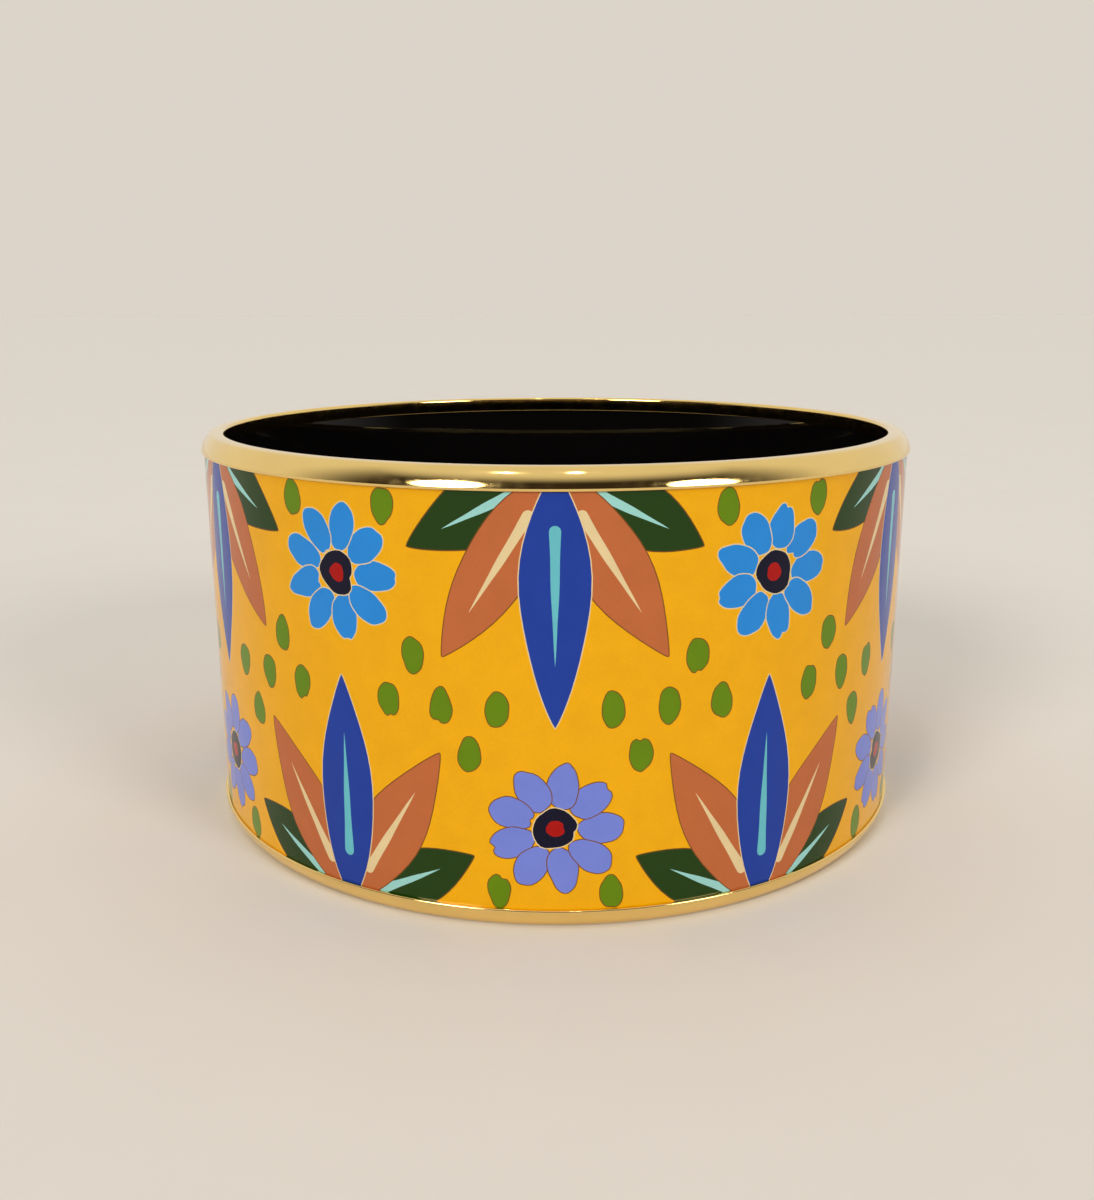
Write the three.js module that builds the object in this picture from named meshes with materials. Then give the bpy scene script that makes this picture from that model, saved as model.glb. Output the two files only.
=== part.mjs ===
// A rigid slip-on bangle bracelet: a wide enamelled band with a gold-plated channel ring closed
// over each edge. Millimetres, +Z up. The bangle stands on its lower rim, its axis is Z, and the
// origin is the centre of the circle that it stands on.
import * as THREE from "three";

// Driving dimensions.
const bangleHeight = 38;
const outerRadius = 35.2;
const boreRadius = 33;
const segments = 96;

// Radial build-up of the enamelled band, from the wrist side outwards.
const liningInnerRadius = 33.3;
const coreInnerRadius = 33.7;
const coreOuterRadius = 34.5;
const bandOuterRadius = 34.95;
const layerGap = 0.01;

// The channel rim's section. Depths are measured from the rim's crest into the bangle. The normal
// angles of its outside are in degrees above the plane of the rim: 90 is the crest's, 0 faces out.
const boreLipRadius = 0.3;
const crestOuterRadius = 34.08;
const shoulderRadius = 0.5;
const bevelTopNormal = 45;
const bevelFootNormal = 14;
const outerEdgeRadius = 0.12;
const outerLegDepth = 1.8;
const innerLegDepth = 1.65;
const innerLegEdgeRadius = 0.1;
const legClearance = 0.03;

// The slot starts well below where the bevel passes over it, so the outer leg stays a whole wall,
// at least 0.1 mm thick.
const webDepth = 1.15;

// The band's own edges stop short of the channel's web, and a bead of cement fills most of the rest.
const bandEdgeDepth = 1.35;
const beddingNearDepth = webDepth + 0.03;
const beddingFarDepth = bandEdgeDepth - 0.03;
const beddingSideGap = 0.06;

const goldPlate = { color: 0xd9a441, roughness: 0.16, metalness: 1 };
const copperAlloy = { color: 0xb87345, roughness: 0.4, metalness: 1 };
const paintedEnamel = { color: 0xe3a21a, roughness: 0.12, metalness: 0 };
const blackEnamel = { color: 0x0c0a0a, roughness: 0.1, metalness: 0 };
const cement = { color: 0xcbbd97, roughness: 0.7, metalness: 0 };

const bangle = new THREE.Group();

// Adds an arc to a section of [radius, depth] pairs, from its last point, while the outward normal
// turns clockwise from one angle to another.
function addArc(section, arcRadius, fromNormal, toNormal, steps) {
  const [startRadius, startDepth] = section.at(-1);
  const from = THREE.MathUtils.degToRad(fromNormal);
  for (let step = 1; step <= steps; step += 1) {
    const normal = THREE.MathUtils.degToRad(fromNormal + ((toNormal - fromNormal) * step) / steps);
    const radius = startRadius + arcRadius * (Math.cos(normal) - Math.cos(from));
    const depth = startDepth - arcRadius * (Math.sin(normal) - Math.sin(from));
    section.push([radius, depth]);
  }
}

// A closed ring swept round Z from a section of [radius, height] pairs.
// The section is turned to run anticlockwise, which points the ring's faces outwards.
function ring(section) {
  const outline = section.map(([radius, height]) => new THREE.Vector2(radius, height));
  if (THREE.ShapeUtils.area(outline) < 0) outline.reverse();
  outline.push(outline[0].clone());
  const geometry = new THREE.LatheGeometry(outline, segments);
  geometry.rotateX(Math.PI / 2);
  return geometry;
}

function addPiece(name, geometry, finish) {
  const piece = new THREE.Mesh(geometry, new THREE.MeshStandardMaterial(finish));
  piece.name = name;
  bangle.add(piece);
}

// A plain cylindrical layer of the band, between two radii.
function bandLayer(innerRadius, outerRadiusOfLayer) {
  const low = bandEdgeDepth;
  const high = bangleHeight - bandEdgeDepth;
  return ring([
    [innerRadius, low],
    [outerRadiusOfLayer, low],
    [outerRadiusOfLayer, high],
    [innerRadius, high],
  ]);
}

// The rim is one bent channel: a flat crest with a crisp lip at the bore, a long bevel that ends in
// a thin upright edge, a straight leg inside the bore, and a slot between the legs for the band.
function rimSection() {
  const cosine = (degrees) => Math.cos(THREE.MathUtils.degToRad(degrees));
  const section = [[boreRadius, boreLipRadius]];
  addArc(section, boreLipRadius, 180, 90, 4);
  section.push([crestOuterRadius, 0]);
  addArc(section, shoulderRadius, 90, bevelTopNormal, 3);
  const bevelWidth = outerRadius - section.at(-1)[0];
  const bevelRadius = bevelWidth / (cosine(bevelFootNormal) - cosine(bevelTopNormal));
  addArc(section, bevelRadius, bevelTopNormal, bevelFootNormal, 4);
  section.push([outerRadius, outerLegDepth - outerEdgeRadius]);
  addArc(section, outerEdgeRadius, 0, -90, 2);
  const slotOuterRadius = bandOuterRadius + legClearance;
  const slotInnerRadius = liningInnerRadius - legClearance;
  section.push([slotOuterRadius, outerLegDepth]);
  section.push([slotOuterRadius, webDepth]);
  section.push([slotInnerRadius, webDepth]);
  section.push([slotInnerRadius, innerLegDepth - innerLegEdgeRadius]);
  addArc(section, innerLegEdgeRadius, 0, -90, 2);
  section.push([boreRadius, innerLegDepth]);
  return section;
}

function beddingSection() {
  const innerRadius = liningInnerRadius + beddingSideGap;
  const outerRadiusOfBead = bandOuterRadius - beddingSideGap;
  return [
    [innerRadius, beddingNearDepth],
    [outerRadiusOfBead, beddingNearDepth],
    [outerRadiusOfBead, beddingFarDepth],
    [innerRadius, beddingFarDepth],
  ];
}

// Depths below the crest become heights: from the floor for the lower rim, from the top for the upper.
function atLowerEdge(section) {
  return ring(section);
}

function atUpperEdge(section) {
  return ring(section.map(([radius, depth]) => [radius, bangleHeight - depth]));
}

addPiece("core_band", bandLayer(coreInnerRadius, coreOuterRadius), copperAlloy);
addPiece("outer_enamel", bandLayer(coreOuterRadius + layerGap, bandOuterRadius), paintedEnamel);
addPiece("inner_enamel", bandLayer(liningInnerRadius, coreInnerRadius - layerGap), blackEnamel);
addPiece("lower_rim", atLowerEdge(rimSection()), goldPlate);
addPiece("upper_rim", atUpperEdge(rimSection()), goldPlate);
addPiece("lower_rim_bedding", atLowerEdge(beddingSection()), cement);
addPiece("upper_rim_bedding", atUpperEdge(beddingSection()), cement);

export default bangle;
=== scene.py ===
"""A wide enamelled bangle: printed outer enamel, black lining and two polished gold channel rims."""

import cmath
import math
import random

import bpy
import numpy as np
from mathutils import Matrix, Vector
from mathutils.geometry import delaunay_2d_cdt


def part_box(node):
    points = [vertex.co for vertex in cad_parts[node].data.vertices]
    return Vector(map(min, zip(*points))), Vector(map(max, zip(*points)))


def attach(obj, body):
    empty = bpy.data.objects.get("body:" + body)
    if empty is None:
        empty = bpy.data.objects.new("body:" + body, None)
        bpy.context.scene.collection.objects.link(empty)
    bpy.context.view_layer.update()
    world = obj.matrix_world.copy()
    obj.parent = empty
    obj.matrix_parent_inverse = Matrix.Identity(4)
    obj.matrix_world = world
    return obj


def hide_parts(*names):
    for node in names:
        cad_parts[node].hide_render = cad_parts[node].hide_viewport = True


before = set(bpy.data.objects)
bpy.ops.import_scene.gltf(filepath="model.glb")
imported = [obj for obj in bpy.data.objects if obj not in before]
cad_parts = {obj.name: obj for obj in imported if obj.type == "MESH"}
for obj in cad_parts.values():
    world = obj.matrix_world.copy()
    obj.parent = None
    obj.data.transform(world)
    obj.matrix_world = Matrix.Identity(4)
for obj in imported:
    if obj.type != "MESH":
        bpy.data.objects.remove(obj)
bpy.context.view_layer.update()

MM = 0.001
RING_STEPS = 360
BODY = "root"


# ---------------------------------------------------------------- sizes, read from the frame

def radii(node):
    """The smallest and the largest distance of a CAD node from the bangle's axis."""
    distances = [vertex.co.xy.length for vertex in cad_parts[node].data.vertices]
    return min(distances), max(distances)


BORE_RADIUS, OUTER_RADIUS = radii("upper_rim")
LINING_RADIUS = radii("inner_enamel")[0]
ENAMEL_RADIUS = radii("outer_enamel")[1]
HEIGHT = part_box("upper_rim")[1].z
RIM_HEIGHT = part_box("lower_rim")[1].z
# The rim is solid from its crest to just short of the cement, and the bevel needs that depth: a
# slot that started higher would break out through it.
WEB_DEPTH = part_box("lower_rim_bedding")[0].z - 0.015 * MM
BAND_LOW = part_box("outer_enamel")[0].z
BAND_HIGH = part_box("outer_enamel")[1].z
PRINT_BACK = ENAMEL_RADIUS - 0.2 * MM

# The print is drawn flat, in millimetres: across is the distance round the band from the front,
# rightwards, and up is the height above the floor. A point is the complex number across + up * 1j.
AROUND = math.tau * ENAMEL_RADIUS / MM
PRINT_LOW = BAND_LOW / MM
PRINT_HIGH = BAND_HIGH / MM
DRAW = random.Random(7)


# ---------------------------------------------------------------- flat outlines of the print

SPINE_STEPS = 24
LEAF_BROADEST = 0.45


def wobble(count, size):
    """A smooth closed run of factors around 1, for an edge drawn by hand."""
    turn = np.linspace(0, math.tau, count, endpoint=False)
    factors = np.ones(count)
    for wave in (2, 3, 5, 8):
        factors += size / wave * 2 * np.sin(wave * turn + DRAW.uniform(0, math.tau))
    return factors


def anticlockwise(outline):
    """The outline, turned round if it runs clockwise."""
    following = np.roll(outline, -1)
    area = (outline.real * following.imag - outline.imag * following.real).sum()
    return outline[::-1] if area < 0 else outline


def grown(outline, by):
    """An anticlockwise outline, moved outwards by a distance."""
    along = np.roll(outline, -1) - np.roll(outline, 1)
    return outline - 1j * along / np.maximum(np.abs(along), 1e-9) * by


def sided(spine, half_widths):
    """The closed outline of a shape with a width along a spine."""
    heading = np.gradient(spine)
    side = 1j * heading / np.abs(heading)
    half_widths = np.maximum(half_widths, 0.01)
    left = spine + side * half_widths
    right = spine - side * half_widths
    return np.concatenate([left, right[-2:0:-1]])


def spine_between(base, tip):
    """Shares along a straight spine, closest together at its ends, and the points of the spine."""
    along = (1 - np.cos(np.linspace(0, math.pi, SPINE_STEPS))) / 2
    return along, base + (tip - base) * along


def leaf(base, tip, width):
    """A pointed leaf, broadest a little short of its middle."""
    along, spine = spine_between(base, tip)
    bend = math.log(0.5) / math.log(LEAF_BROADEST)
    half = width / 2 * np.sin(math.pi * along ** bend).clip(0) ** 0.86
    return sided(spine, half * (1 + 0.04 * np.sin(9 * along + DRAW.uniform(0, math.tau))))


def rib(base, tip, width):
    """A brush stroke with a round start and a thin dry tip."""
    along, spine = spine_between(base, tip)
    cap = width / 2 / abs(tip - base)
    round_start = np.sqrt(1 - (1 - along / cap).clip(0) ** 2)
    half = width / 2 * round_start * (1 - along ** 1.4) ** 0.9
    return sided(spine, half * (1 + 0.06 * np.sin(13 * along + DRAW.uniform(0, math.tau))))


def dab(centre, heading, length, width):
    """An oval touch of a loaded brush, with an uneven edge and sometimes a ragged end."""
    count = 28
    turn = np.linspace(0, math.tau, count, endpoint=False)
    egg = DRAW.uniform(-0.22, 0.22)
    factors = wobble(count, 0.045)
    if DRAW.random() < 0.4:
        notch = DRAW.choice((0.0, math.pi)) + DRAW.uniform(-0.3, 0.3)
        gap = np.abs((turn - notch + math.pi) % math.tau - math.pi)
        factors -= DRAW.uniform(0.12, 0.24) * np.exp(-((gap / 0.24) ** 2))
    oval = length / 2 * np.cos(turn) + 1j * width / 2 * np.sin(turn) * (1 + egg * np.cos(turn))
    return centre + heading * oval * factors


# ---------------------------------------------------------------- the motifs

REPEATS = 6
PITCH = AROUND / REPEATS
PRINT_TALL = PRINT_HIGH - PRINT_LOW
SPRAY_LENGTH = PRINT_TALL * 0.57
LEAF_BREADTH = SPRAY_LENGTH * 0.27
VEIN_WIDTH = 0.9
DAISY_RADIUS = PRINT_TALL * 0.16
DAISY_FROM_EDGE = DAISY_RADIUS * 1.35
PETALS = 9
# The sprays start this far beyond the print's edge, so no leaf comes to a point on the edge itself.
ROOT_BEYOND = 1.0


def spray(sheet, root, upright):
    """A plain spray of leaves that stands on a rim. upright is the direction away from that rim."""
    for lean, share, leaf_paint, vein_paint in (
            (-1.1, 0.65, "forest", "mint"), (1.1, 0.65, "forest", "mint"),
            (-0.55, 0.85, "salmon", "cream"), (0.55, 0.85, "salmon", "cream"),
            (0, 1, "cobalt", "turquoise")):
        along = upright * cmath.rect(SPRAY_LENGTH * share, lean)
        vein_start, vein_end = root + along * 0.2, root + along * 0.75
        sheet.paint(leaf_paint, leaf(root, root + along, LEAF_BREADTH))
        sheet.paint(vein_paint, rib(vein_start, vein_end, VEIN_WIDTH))


def daisy(sheet, centre, petal_paint):
    """A simple round flower: oval petals about a round heart with an eye in it."""
    petal_place, petal_length, petal_width = (DAISY_RADIUS * share for share in (0.66, 0.68, 0.44))
    heart, eye = (DAISY_RADIUS * share for share in (0.62, 0.26))
    for index in range(PETALS):
        heading = cmath.rect(1, index * math.tau / PETALS)
        petal = dab(centre + heading * petal_place, heading, petal_length, petal_width)
        sheet.paint(petal_paint, petal)
    sheet.paint("navy", dab(centre, 1, heart, heart))
    sheet.paint("red", dab(centre, 1, eye, eye))


def garden(sheet):
    """The whole decoration, one plain repeat: sprays on alternate rims, each facing a flower."""
    for index in range(REPEATS):
        lower = (index + 0.5) * PITCH - AROUND / 2
        upper = lower + PITCH / 2
        spray(sheet, complex(lower, PRINT_LOW - ROOT_BEYOND), 1j)
        spray(sheet, complex(upper, PRINT_HIGH + ROOT_BEYOND), -1j)
        daisy(sheet, complex(lower, PRINT_HIGH - DAISY_FROM_EDGE), "azure")
        daisy(sheet, complex(upper, PRINT_LOW + DAISY_FROM_EDGE), "lavender")


# ---------------------------------------------------------------- dividing the print by colour

def inside(outline, points):
    """Which of the points lie inside the outline."""
    found = np.zeros(points.shape, bool)
    for start, stop in zip(outline, np.roll(outline, -1)):
        crosses = (start.imag > points.imag) != (stop.imag > points.imag)
        rise = stop.imag - start.imag
        if rise:
            at = (stop.real - start.real) * (points.imag - start.imag) / rise + start.real
            found ^= crosses & (points.real < at)
    return found


class Sheet:
    """The flat print: painted outlines in order, and a raster of what is taken."""

    CELL = 0.25
    # Where a colour is printed over its neighbour, the thin overlap shows as a line round the shape.
    OVERLAP = 0.09
    OVERLAPS = {"moss": "umber", "forest": "umber", "salmon": "umber", "lavender": "umber",
                "azure": "cream", "cobalt": "cream", "navy": "cream"}

    def __init__(self):
        self.shapes = []
        across = np.arange(-AROUND / 2 - 30, AROUND / 2 + 30, self.CELL)
        up = np.arange(-10, 50, self.CELL)
        self.cells = across[None, :] + 1j * up[:, None]
        self.taken = np.zeros(self.cells.shape, bool)

    def window(self, outline):
        """The rows and columns of the raster that an outline reaches."""
        low = (complex(outline.real.min(), outline.imag.min()) - self.cells[0, 0]) / self.CELL
        high = (complex(outline.real.max(), outline.imag.max()) - self.cells[0, 0]) / self.CELL
        rows = slice(max(0, int(low.imag)), max(0, int(high.imag) + 2))
        columns = slice(max(0, int(low.real)), max(0, int(high.real) + 2))
        return rows, columns

    def paint(self, name, outline):
        outline = anticlockwise(outline)
        for shift in (-AROUND, 0, AROUND):
            moved = outline + shift
            if moved.real.max() < -AROUND / 2 - 1 or moved.real.min() > AROUND / 2 + 1:
                continue
            if moved.imag.max() < PRINT_LOW or moved.imag.min() > PRINT_HIGH:
                continue
            if name in self.OVERLAPS:
                self.shapes.append((self.OVERLAPS[name], grown(moved, self.OVERLAP)))
            self.shapes.append((name, moved))
            rows, columns = self.window(moved)
            self.taken[rows, columns] |= inside(moved, self.cells[rows, columns])

    def is_free(self, outline, room):
        """Whether an outline keeps that much room to everything that is painted."""
        for shift in (-AROUND, 0, AROUND):
            moved = grown(anticlockwise(outline), room) + shift
            rows, columns = self.window(moved)
            taken = self.taken[rows, columns]
            if taken.any() and inside(moved, self.cells[rows, columns][taken]).any():
                return False
        return True


def fill_with_dabs(sheet):
    """Green dabs in staggered rows, wherever they keep clear of everything else."""
    rows, columns = 9, 48
    length, width, room = 2.9, 1.8, 0.5
    for row in range(rows):
        up = PRINT_LOW + (row + 0.5) * PRINT_TALL / rows
        for column in range(columns):
            across = (column + row % 2 / 2) * AROUND / columns - AROUND / 2
            outline = dab(complex(across, up), 1j, length, width)
            if sheet.is_free(outline, room):
                sheet.paint("moss", outline)


def design():
    """The painted sheet."""
    sheet = Sheet()
    garden(sheet)
    fill_with_dabs(sheet)
    return sheet


def seam_joins(flat):
    """For every point of the flat print, the point that it becomes once the sheet's right end is
    joined to its left end. The two ends have the same points, so only those at the right change."""
    on_the_line, same_height = 1e-4, 1e-3
    left = np.flatnonzero(np.abs(flat[:, 0] + AROUND / 2) < on_the_line)
    joined = np.arange(len(flat))
    for point in np.flatnonzero(np.abs(flat[:, 0] - AROUND / 2) < on_the_line):
        apart = np.abs(flat[left, 1] - flat[point, 1])
        if apart.min() < same_height:
            joined[point] = left[apart.argmin()]
    return joined


def divide(sheet):
    """Cuts the flat print along every painted edge: its points, triangles and their colours."""
    columns = np.linspace(-AROUND / 2, AROUND / 2, 241)
    rows = np.linspace(PRINT_LOW, PRINT_HIGH, 37)
    points = [Vector((x, y)) for x in columns for y in rows]
    stride = len(rows)
    edge = ([column * stride for column in range(len(columns))]
            + [(len(columns) - 1) * stride + row for row in range(1, stride)]
            + [column * stride + stride - 1 for column in range(len(columns) - 2, -1, -1)]
            + [row for row in range(stride - 2, 0, -1)])
    faces = [edge]
    for _, outline in sheet.shapes:
        first = len(points)
        points.extend(Vector((point.real, point.imag)) for point in outline)
        faces.append(list(range(first, first + len(outline))))
    only_inside, tolerance = 1, 1e-5
    made = delaunay_2d_cdt(points, [], faces, only_inside, tolerance)
    flat = np.array([point[:] for point in made[0]])
    joined = seam_joins(flat)
    colours = {}
    for corners, source in zip(made[2], made[5]):
        triangle = [joined[corner] for corner in corners]
        if 0 not in source or len(set(triangle)) < 3:
            continue
        top = max(source)
        name = sheet.shapes[top - 1][0] if top else "marigold"
        colours.setdefault(name, []).append(triangle)
    return flat, colours


def relief(across, up):
    """How far the fired enamel stands off its true radius, in millimetres: long soft waves in the
    glaze, and a small dip where it meets the rims."""
    turn = across / AROUND * math.tau
    waves = np.zeros_like(turn)
    for around, rise, phase in ((13, 0.21, 0.3), (22, -0.34, 2.1), (31, 0.16, 4.0), (9, 0.47, 1.2)):
        waves += np.sin(around * turn + rise * up + phase)
    to_rim = np.minimum(up - RIM_HEIGHT / MM, (HEIGHT - RIM_HEIGHT) / MM - up).clip(0)
    wave_height, dip_depth, dip_reach = 0.0035, 0.035, 0.4
    return wave_height * waves - dip_depth * np.exp(-to_rim / dip_reach)


def wrapped(flat, radius):
    """Points of the flat print, wrapped round the band at radii in metres."""
    turn = flat[:, 0] / AROUND * math.tau
    return np.stack([radius * np.sin(turn), -radius * np.cos(turn), flat[:, 1] * MM], axis=1)


def glaze_normals(flat):
    """The glaze's outward normals at points of the flat print."""
    step = 0.02
    across, up = flat[:, 0], flat[:, 1]
    lean = (relief(across + step, up) - relief(across - step, up)) / (2 * step)
    rise = (relief(across, up + step) - relief(across, up - step)) / (2 * step)
    turn = across / AROUND * math.tau
    normals = np.stack([np.sin(turn) - lean * np.cos(turn),
                        -np.cos(turn) - lean * np.sin(turn), -rise], axis=1)
    return normals / np.linalg.norm(normals, axis=1, keepdims=True)


def tile_mesh(name, flat, triangles):
    """A closed skin of one colour: its front, its back and the walls along its edges."""
    triangles = np.array(triangles)
    used, index = np.unique(triangles, return_inverse=True)
    index = index.reshape(triangles.shape)
    corners = flat[used]
    count = len(used)
    surface = ENAMEL_RADIUS + relief(corners[:, 0], corners[:, 1]) * MM
    front, back = wrapped(corners, surface), wrapped(corners, PRINT_BACK)
    open_sides = {}
    for a, b, c in index:
        for start, stop in ((a, b), (b, c), (c, a)):
            if (stop, start) in open_sides:
                del open_sides[stop, start]
            else:
                open_sides[start, stop] = True
    faces = [tuple(face) for face in index]
    faces += [(c + count, b + count, a + count) for a, b, c in index]
    faces += [(b, a, a + count, b + count) for a, b in open_sides]
    mesh = bpy.data.meshes.new(name)
    mesh.from_pydata(np.concatenate([front, back]).tolist(), [], faces)
    mesh.shade_smooth()
    normals = np.zeros((len(mesh.loops), 3))
    normals[:index.size] = glaze_normals(corners)[index.ravel()]
    mesh.normals_split_custom_set(normals.tolist())
    return mesh


# ---------------------------------------------------------------- materials

def new_material(name):
    """A new node material, with its nodes, its links and its main shader."""
    material = bpy.data.materials.new(name)
    material.use_nodes = True
    nodes = material.node_tree.nodes
    return material, nodes, material.node_tree.links, nodes["Principled BSDF"]


def srgb(red, green, blue):
    """A display colour in 0-255 as the linear colour that a shader takes."""
    linear = []
    for value in (red, green, blue):
        share = value / 255
        linear.append(share / 12.92 if share <= 0.04045 else ((share + 0.055) / 1.055) ** 2.4)
    return (*linear, 1)


def noise(nodes, links, vector, scale, detail, low, high):
    """A noise texture, stretched to run from low to high. scale is in features per metre."""
    texture = nodes.new("ShaderNodeTexNoise")
    texture.inputs["Scale"].default_value = scale
    texture.inputs["Detail"].default_value = detail
    links.new(vector, texture.inputs["Vector"])
    spread = nodes.new("ShaderNodeMapRange")
    spread.inputs["From Min"].default_value = 0.3
    spread.inputs["From Max"].default_value = 0.7
    spread.inputs["To Min"].default_value = low
    spread.inputs["To Max"].default_value = high
    links.new(texture.outputs["Fac"], spread.inputs["Value"])
    return spread.outputs["Result"]


def scaled_colour(nodes, links, colour, factor):
    """The colour, brightened by a factor that varies over the surface."""
    product = nodes.new("ShaderNodeMix")
    product.data_type = "RGBA"
    product.blend_type = "MULTIPLY"
    product.inputs["Factor"].default_value = 1
    product.inputs["A"].default_value = colour
    links.new(factor, product.inputs["B"])
    return product.outputs["Result"]


def bump(nodes, links, height, distance):
    """A normal that follows a height of 0 to 1, which stands for that distance in metres."""
    relief_node = nodes.new("ShaderNodeBump")
    relief_node.inputs["Strength"].default_value = 1
    relief_node.inputs["Distance"].default_value = distance
    links.new(height, relief_node.inputs["Height"])
    return relief_node.outputs["Normal"]


def enamel(name, colour):
    """Opaque glassy enamel: cloudy, finely grained colour under a smooth clear coat."""
    material, nodes, links, shader = new_material(name)
    place = nodes.new("ShaderNodeTexCoord").outputs["Object"]
    cloud = noise(nodes, links, place, 420, 3, 0.97, 1.03)
    grain = noise(nodes, links, place, 9000, 2, 0.965, 1.035)
    both = nodes.new("ShaderNodeMath")
    both.operation = "MULTIPLY"
    links.new(cloud, both.inputs[0])
    links.new(grain, both.inputs[1])
    links.new(scaled_colour(nodes, links, colour, both.outputs[0]), shader.inputs["Base Color"])
    links.new(noise(nodes, links, place, 700, 2, 0.3, 0.42), shader.inputs["Roughness"])
    peel = bump(nodes, links, noise(nodes, links, place, 520, 1, 0, 1), 0.0012 * MM)
    links.new(peel, shader.inputs["Normal"])
    links.new(peel, shader.inputs["Coat Normal"])
    shader.inputs["Specular IOR Level"].default_value = 0
    shader.inputs["Coat Weight"].default_value = 1
    shader.inputs["Coat Roughness"].default_value = 0.02
    shader.inputs["Coat IOR"].default_value = 1.3
    return material


def gold():
    """Mirror-polished yellow gold plate with faint polishing lines round the rim."""
    material, nodes, links, shader = new_material("gold_plate")
    place = nodes.new("ShaderNodeTexCoord").outputs["Object"]
    tone = noise(nodes, links, place, 160, 4, 0.96, 1.03)
    links.new(scaled_colour(nodes, links, GOLD, tone), shader.inputs["Base Color"])
    shader.inputs["Metallic"].default_value = 1
    links.new(noise(nodes, links, place, 900, 4, 0.05, 0.13), shader.inputs["Roughness"])
    parts = nodes.new("ShaderNodeSeparateXYZ")
    links.new(place, parts.inputs[0])
    turn = nodes.new("ShaderNodeMath")
    turn.operation = "ARCTAN2"
    links.new(parts.outputs["Y"], turn.inputs[0])
    links.new(parts.outputs["X"], turn.inputs[1])
    from_axis = nodes.new("ShaderNodeVectorMath")
    from_axis.operation = "LENGTH"
    flat = nodes.new("ShaderNodeCombineXYZ")
    links.new(parts.outputs["X"], flat.inputs["X"])
    links.new(parts.outputs["Y"], flat.inputs["Y"])
    links.new(flat.outputs[0], from_axis.inputs[0])
    lines = nodes.new("ShaderNodeCombineXYZ")
    # A short way round in the noise makes long streaks round the rim.
    short = nodes.new("ShaderNodeMath")
    short.operation = "MULTIPLY"
    short.inputs[1].default_value = STREAK_SQUEEZE
    links.new(turn.outputs[0], short.inputs[0])
    links.new(short.outputs[0], lines.inputs["X"])
    links.new(from_axis.outputs["Value"], lines.inputs["Y"])
    links.new(parts.outputs["Z"], lines.inputs["Z"])
    streaks = noise(nodes, links, lines.outputs[0], 9000, 2, 0, 1)
    links.new(bump(nodes, links, streaks, 0.0003 * MM), shader.inputs["Normal"])
    return material


def copper():
    """Rolled copper alloy, with dull tarnish left by the enamelling fire."""
    material, nodes, links, shader = new_material("core_copper")
    place = nodes.new("ShaderNodeTexCoord").outputs["Object"]
    tarnish = noise(nodes, links, place, 300, 5, 0.6, 1.1)
    links.new(scaled_colour(nodes, links, (0.64, 0.29, 0.16, 1), tarnish), shader.inputs["Base Color"])
    links.new(noise(nodes, links, place, 700, 4, 0.3, 0.55), shader.inputs["Roughness"])
    grain = bump(nodes, links, noise(nodes, links, place, 6000, 3, 0, 1), 0.002 * MM)
    links.new(grain, shader.inputs["Normal"])
    shader.inputs["Metallic"].default_value = 1
    return material


def cement():
    """Pale gritty cement."""
    material, nodes, links, shader = new_material("rim_cement")
    place = nodes.new("ShaderNodeTexCoord").outputs["Object"]
    grit = noise(nodes, links, place, 5000, 4, 0.82, 1.08)
    links.new(scaled_colour(nodes, links, (0.60, 0.51, 0.34, 1), grit), shader.inputs["Base Color"])
    links.new(noise(nodes, links, place, 2000, 2, 0.65, 0.85), shader.inputs["Roughness"])
    links.new(bump(nodes, links, grit, 0.02 * MM), shader.inputs["Normal"])
    return material


# ---------------------------------------------------------------- pieces

def keep(piece, slot, *nodes):
    """Links a piece to the frame: its body and the CAD nodes it stands for. The slot argument is not
    used.
    """
    bpy.context.scene.collection.objects.link(piece)
    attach(piece, BODY)
    if nodes:
        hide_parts(*nodes)
    return piece


def ring_mesh(name, section):
    """A ring swept round Z from a closed section of (radius, height) pairs, anticlockwise."""
    turn = np.linspace(0, math.tau, RING_STEPS, endpoint=False)
    section = np.array(section)
    count = len(section)
    points = np.stack([
        np.outer(np.sin(turn), section[:, 0]),
        -np.outer(np.cos(turn), section[:, 0]),
        np.outer(np.ones(RING_STEPS), section[:, 1]),
    ], axis=2).reshape(-1, 3)
    faces = []
    for step in range(RING_STEPS):
        here, there = step * count, (step + 1) % RING_STEPS * count
        for corner in range(count):
            following = (corner + 1) % count
            faces.append((here + corner, there + corner, there + following, here + following))
    mesh = bpy.data.meshes.new(name)
    mesh.from_pydata(points.tolist(), [], faces)
    mesh.shade_smooth()
    mesh.set_sharp_from_angle(angle=math.radians(40))
    return mesh


def follow(section, radius, stop, steps):
    """Carries a section on along an arc, until its outward normal has turned clockwise to stop.

    A section is a list of (radius, height, normal) in metres and degrees, clockwise.
    """
    across, up, start = section[-1]
    for normal in np.linspace(start, stop, steps + 1)[1:]:
        here, there = math.radians(start), math.radians(normal)
        section.append((across + radius * (math.cos(there) - math.cos(here)),
                        up + radius * (math.sin(there) - math.sin(here)), normal))


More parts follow.
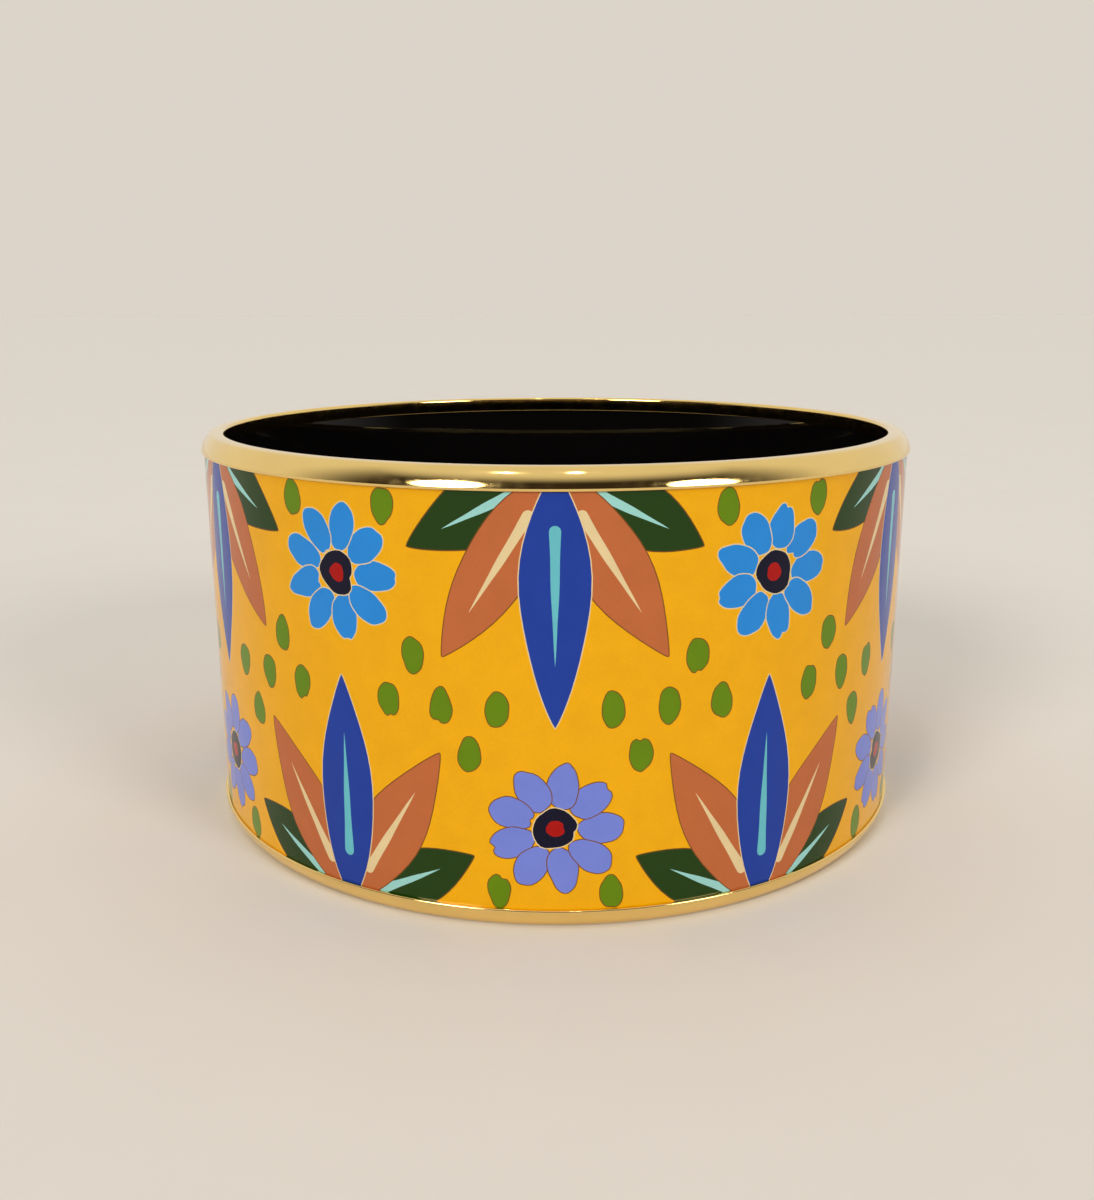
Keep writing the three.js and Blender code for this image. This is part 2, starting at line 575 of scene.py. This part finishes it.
def rim_section():
    """The channel rim's section as (radius, height above its crest) pairs: a crisp lip at the bore,
    a nearly flat crown, a long bevel, a thin upright edge, and the slot that holds the band."""
    lip, crown, shoulder, edge, leg_edge = 0.3 * MM, 3.2 * MM, 0.5 * MM, 0.12 * MM, 0.1 * MM
    steep, gentle = 14, 45
    section = [(BORE_RADIUS, 0, 180)]
    follow(section, lip, 96, 10)
    follow(section, crown, 80, 8)
    top = max(up for _, up, _ in section)
    follow(section, shoulder, gentle, 6)
    left = OUTER_RADIUS - section[-1][0] - edge * (1 - math.cos(math.radians(steep)))
    bevel = left / (math.cos(math.radians(steep)) - math.cos(math.radians(gentle)))
    follow(section, bevel, steep, 10)
    follow(section, edge, 0, 4)
    foot, leg_foot, web = top - RIM_HEIGHT, top - RIM_HEIGHT + 0.15 * MM, top - WEB_DEPTH
    section.append((OUTER_RADIUS, foot + edge, 0))
    follow(section, edge, -90, 6)
    slot_out, slot_in = ENAMEL_RADIUS + 0.015 * MM, LINING_RADIUS - 0.015 * MM
    section += [(slot_out, foot, -90), (slot_out, web, 180), (slot_in, web, -90)]
    section.append((slot_in, leg_foot + leg_edge, 0))
    follow(section, leg_edge, -90, 4)
    section.append((BORE_RADIUS + leg_edge, leg_foot, -90))
    follow(section, leg_edge, -180, 4)
    return [(across, up - top) for across, up, _ in section]


def add_rim(node, upper):
    """The polished rim in place of a CAD rim. The upper one is the lower one, turned over."""
    name = node + "_polished"
    if upper:
        section = [(radius, HEIGHT + up) for radius, up in rim_section()[::-1]]
    else:
        section = [(radius, -up) for radius, up in rim_section()]
    return keep(bpy.data.objects.new(name, ring_mesh(name, section)), "gold_plate", node)


def add_layer(name, node, slot, outer=None):
    """A smooth ring with the radii and the height of a CAD node, and softly rounded edges."""
    inner, node_outer = radii(node)
    outer = outer or node_outer
    low, high = (corner.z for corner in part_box(node))
    edge = min(outer - inner, high - low) * 0.2
    section = []
    for across, up, start in ((outer - edge, high - edge, 0), (inner + edge, high - edge, 90),
                              (inner + edge, low + edge, 180), (outer - edge, low + edge, 270)):
        for angle in np.radians(np.linspace(start, start + 90, 5)):
            section.append((across + edge * math.cos(angle), up + edge * math.sin(angle)))
    return keep(bpy.data.objects.new(name, ring_mesh(name, section)), slot, node)


# The backdrop has about the brightness of the lit floor, so that the horizon hardly shows.
BACKDROP = (0.713, 0.655, 0.584, 1)
DIM_ROOM = (0.035, 0.026, 0.02, 1)
PALE_ROOM = (0.78, 0.75, 0.70, 1)
FLOOR = (0.74, 0.71, 0.67, 1)
LAMP_COLOUR = (1, 0.96, 0.90)
GOLD = (0.94, 0.68, 0.25, 1)
STREAK_SQUEEZE = 0.0025
# Each colour is a little deeper than it looks in the end, because the glaze adds a pale reflection.
PALETTE = {
    "marigold": srgb(233, 168, 0), "azure": srgb(34, 133, 216), "turquoise": srgb(99, 185, 198),
    "lavender": srgb(112, 128, 214), "red": srgb(164, 6, 1), "salmon": srgb(184, 101, 56),
    "forest": srgb(28, 58, 8), "mint": srgb(150, 208, 204), "moss": srgb(95, 130, 0),
    "navy": srgb(3, 3, 34), "cobalt": srgb(24, 58, 154), "umber": srgb(118, 70, 22),
    "cream": srgb(222, 200, 152),
}


def add_print():
    """One piece for every colour of the print, each a closed skin."""
    flat, colours = divide(design())
    for name, triangles in colours.items():
        mesh = tile_mesh("print_" + name, flat, triangles)
        mesh.materials.append(enamel("enamel_" + name, PALETTE[name]))
        keep(bpy.data.objects.new("print_" + name, mesh), "painted_enamel", "outer_enamel")


def add_stage():
    """A pale floor that runs out of sight."""
    half = 6.0
    corners = [(-half, -half, 0), (half, -half, 0), (half, half, 0), (-half, half, 0)]
    mesh = bpy.data.meshes.new("floor")
    mesh.from_pydata(corners, [], [(0, 1, 2, 3)])
    floor = bpy.data.objects.new("floor", mesh)
    bpy.context.scene.collection.objects.link(floor)
    material, nodes, links, shader = new_material("floor")
    place = nodes.new("ShaderNodeTexCoord").outputs["Object"]
    cloud = noise(nodes, links, place, 60, 4, 0.993, 1.007)
    links.new(scaled_colour(nodes, links, FLOOR, cloud), shader.inputs["Base Color"])
    shader.inputs["Roughness"].default_value = 0.8
    shader.inputs["Specular IOR Level"].default_value = 0
    mesh.materials.append(material)


def ramp(nodes, links, value, low, high):
    """A smooth step from 0 at low to 1 at high."""
    step = nodes.new("ShaderNodeMapRange")
    step.interpolation_type = "SMOOTHSTEP"
    step.inputs["From Min"].default_value = low
    step.inputs["From Max"].default_value = high
    links.new(value, step.inputs["Value"])
    return step.outputs["Result"]


def add_world():
    """A pale room that is dim on the side of the camera, as behind a photographer."""
    world = bpy.data.worlds.new("studio")
    bpy.context.scene.world = world
    world.use_nodes = True
    nodes, links = world.node_tree.nodes, world.node_tree.links
    parts = nodes.new("ShaderNodeSeparateXYZ")
    links.new(nodes.new("ShaderNodeTexCoord").outputs["Generated"], parts.inputs[0])
    away = ramp(nodes, links, parts.outputs["Y"], -0.55, 0.1)
    above = ramp(nodes, links, parts.outputs["Z"], 0.55, 0.9)
    lit = nodes.new("ShaderNodeMath")
    lit.operation = "MAXIMUM"
    links.new(away, lit.inputs[0])
    links.new(above, lit.inputs[1])
    room = nodes.new("ShaderNodeMix")
    room.data_type = "RGBA"
    room.inputs["A"].default_value = DIM_ROOM
    room.inputs["B"].default_value = PALE_ROOM
    links.new(lit.outputs[0], room.inputs["Factor"])
    seen = nodes.new("ShaderNodeMix")
    seen.data_type = "RGBA"
    seen.inputs["B"].default_value = BACKDROP
    links.new(nodes.new("ShaderNodeLightPath").outputs["Is Camera Ray"], seen.inputs["Factor"])
    links.new(room.outputs["Result"], seen.inputs["A"])
    links.new(seen.outputs["Result"], nodes["Background"].inputs["Color"])


def add_lights():
    """Two broad distant lamps in front of the bangle, which light the floor evenly, and two small
    ones over it that make its gold sparkle."""
    centre = Vector((0, 0, HEIGHT / 2))
    for name, kind, place, size, power in (
            ("key", "SUN", (-0.34, -0.50, 0.32), math.radians(20), 1.55),
            ("fill", "SUN", (0.44, -0.42, 0.26), math.radians(20), 1.15),
            ("spark_left", "AREA", (-0.12, -0.25, 0.62), 0.008, 0.12),
            ("spark_right", "AREA", (0.05, -0.25, 0.62), 0.008, 0.12)):
        data = bpy.data.lights.new(name, kind)
        data.energy = power
        data.color = LAMP_COLOUR
        if kind == "SUN":
            data.angle = size
        else:
            data.shape = "DISK"
            data.size = size
        lamp = bpy.data.objects.new(name, data)
        lamp.location = place
        lamp.rotation_euler = (centre - lamp.location).to_track_quat("-Z", "Y").to_euler()
        bpy.context.scene.collection.objects.link(lamp)


def add_camera():
    """The eye point, in outer radii of the rim from the axis and the floor, with its aim."""
    data = bpy.data.cameras.new("camera")
    data.lens = 35.0
    data.sensor_width = 36
    data.clip_start = 1 * MM
    camera = bpy.data.objects.new("camera", data)
    bpy.context.scene.collection.objects.link(camera)
    eye_back, eye_up = 3.4406 * OUTER_RADIUS, 1.4091 * OUTER_RADIUS
    pitch, yaw, roll = math.radians(-14.14), math.radians(0.41), math.radians(-0.13)
    turn = (Matrix.Rotation(yaw, 4, "Z") @ Matrix.Rotation(math.pi / 2 + pitch, 4, "X")
            @ Matrix.Rotation(roll, 4, "Z"))
    camera.matrix_world = Matrix.Translation((0, -eye_back, eye_up)) @ turn
    bpy.context.scene.camera = camera


add_camera()
add_stage()
add_world()
add_lights()
gold_plate = gold()
for rim_name, is_upper in (("lower_rim", False), ("upper_rim", True)):
    add_rim(rim_name, is_upper).data.materials.append(gold_plate)
for layer_name, layer_node, layer_slot, layer_finish in (
        ("inner_enamel_lining", "inner_enamel", "black_enamel", enamel("enamel_lining", srgb(8, 7, 7))),
        ("core_band_strip", "core_band", "core_metal", copper()),
        ("lower_rim_cement", "lower_rim_bedding", "rim_cement", cement()),
        ("upper_rim_cement", "upper_rim_bedding", "rim_cement", cement())):
    add_layer(layer_name, layer_node, layer_slot).data.materials.append(layer_finish)
base = add_layer("outer_enamel_base", "outer_enamel", "painted_enamel", PRINT_BACK - 0.01 * MM)
base.data.materials.append(enamel("enamel_base", srgb(225, 215, 190)))
add_print()
bpy.context.scene.view_settings.view_transform = "Standard"
